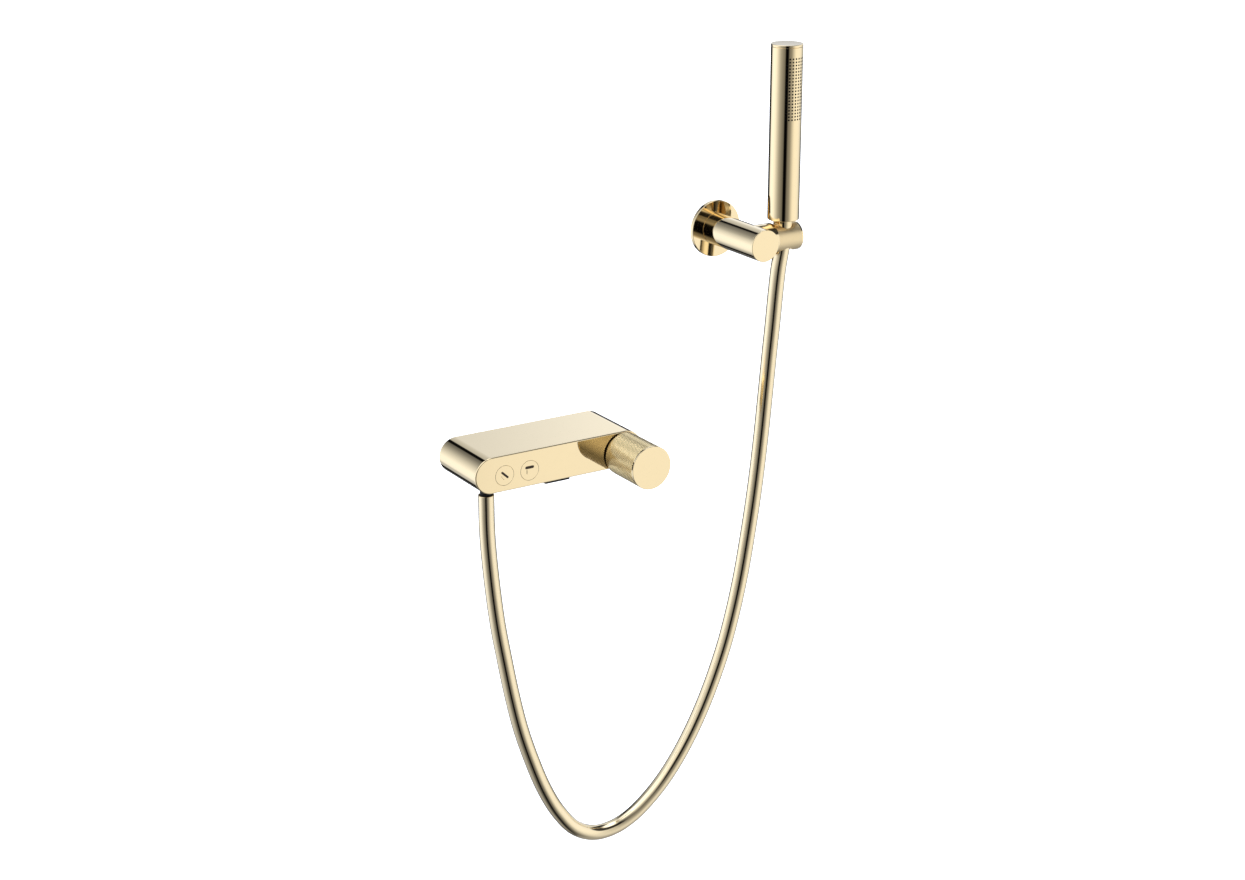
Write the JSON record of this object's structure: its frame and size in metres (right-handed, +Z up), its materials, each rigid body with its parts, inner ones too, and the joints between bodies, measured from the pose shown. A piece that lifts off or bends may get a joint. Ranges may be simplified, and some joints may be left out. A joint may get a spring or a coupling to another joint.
{
  "type": "wall mounted bath mixer set",
  "caption": "Wall-mounted bath and shower mixer shelf with push buttons, a knurled temperature knob, a spout outlet, a hose, a stick handset and a round wall bracket.",
  "frame": {"origin": "middle of the mixer's back face, on the finished wall", "axes": "+X to the right along the wall, +Y into the wall, +Z up"},
  "size_m": [0.381, 0.1283, 0.8351],
  "materials": {
    "polished_gold": "mirror-polished pale gold plating on brass",
    "satin_gold": "fine satin pale gold plating on brass",
    "knurled_gold": "pale gold plating over a fine diamond knurl",
    "hose_gold": "smooth metallised gold hose skin",
    "cast_brass": "machined cast brass",
    "steel": "stainless steel",
    "black_plastic": "black moulded plastic",
    "white_plastic": "natural moulded acetal",
    "black_rubber": "matt black rubber"
  },
  "bodies": {
    "root": {"body_shell": "polished_gold", "front_panel": "polished_gold", "back_plate": "steel", "manifold_screw_left": "steel", "manifold_screw_right": "steel", "shell_grub_screw_left": "steel", "shell_grub_screw_right": "steel", "valve_manifold": "cast_brass", "gallery_plug": "cast_brass", "inlet_union_hot": "cast_brass", "inlet_filter_hot": "steel", "inlet_union_cold": "cast_brass", "inlet_filter_cold": "steel", "spout_outlet": "black_plastic", "spout_flow_former": "black_plastic", "shower_valve": "white_plastic", "shower_button_spring": "steel", "spout_valve": "white_plastic", "spout_button_spring": "steel", "thermostatic_cartridge": "white_plastic", "cartridge_ring_nut": "cast_brass", "thermo_element": "cast_brass", "hose_outlet_nipple": "black_plastic", "check_valve": "white_plastic", "hose_ferrule": "hose_gold", "shower_hose_lower": "hose_gold", "rosette": "polished_gold", "mounting_spigot": "steel", "arm_body": "satin_gold", "arm_end_cap": "polished_gold", "arm_grub_screw": "steel", "pivot_grub_screw": "steel", "friction_washer": "black_plastic"},
    "knob": {"knob_sleeve": "knurled_gold", "knob_end_cap": "polished_gold", "knob_carrier": "black_plastic", "knob_grub_screw": "steel", "cartridge_spindle": "cast_brass", "temperature_stop_ring": "white_plastic"},
    "shower_button": {"shower_button_cap": "polished_gold", "shower_button_stem": "white_plastic"},
    "spout_button": {"spout_button_cap": "polished_gold", "spout_button_stem": "white_plastic"},
    "holder": {"holder_body": "satin_gold", "holder_end_cap": "polished_gold"},
    "handset": {"handset_body": "polished_gold", "handset_top_cap": "polished_gold", "spray_insert": "black_rubber", "handset_tail": "cast_brass", "flow_limiter": "white_plastic", "hose_cone_nut": "polished_gold", "hose_washer": "black_rubber", "shower_hose_upper": "hose_gold"}
  },
  "joints": [
    {"name": "knob_turn", "type": "hinge", "parent": "root", "child": "knob", "pos_m": [0.0738, -0.102, -0.0043], "axis": [0, -1, 0], "range_deg": [-150, 90]},
    {"name": "shower_press", "type": "slide", "parent": "root", "child": "shower_button", "axis": [0, 1, 0], "range_m": [0, 0.003], "stiffness_N_per_m": 500, "springref_m": -0.004, "deforming": ["shower_button_spring"]},
    {"name": "spout_press", "type": "slide", "parent": "root", "child": "spout_button", "axis": [0, 1, 0], "range_m": [0, 0.003], "stiffness_N_per_m": 500, "springref_m": -0.004, "deforming": ["spout_button_spring"]},
    {"name": "holder_tilt", "type": "hinge", "parent": "root", "child": "holder", "pos_m": [0.2697, -0.0694, 0.1915], "axis": [1, 0, 0], "range_deg": [-12, 35], "deforming": ["shower_hose_lower"]},
    {"name": "handset_lift", "type": "slide", "parent": "holder", "child": "handset", "axis": [0, 0, 1], "range_m": [0, 0.06], "deforming": ["shower_hose_upper"]}
  ]
}
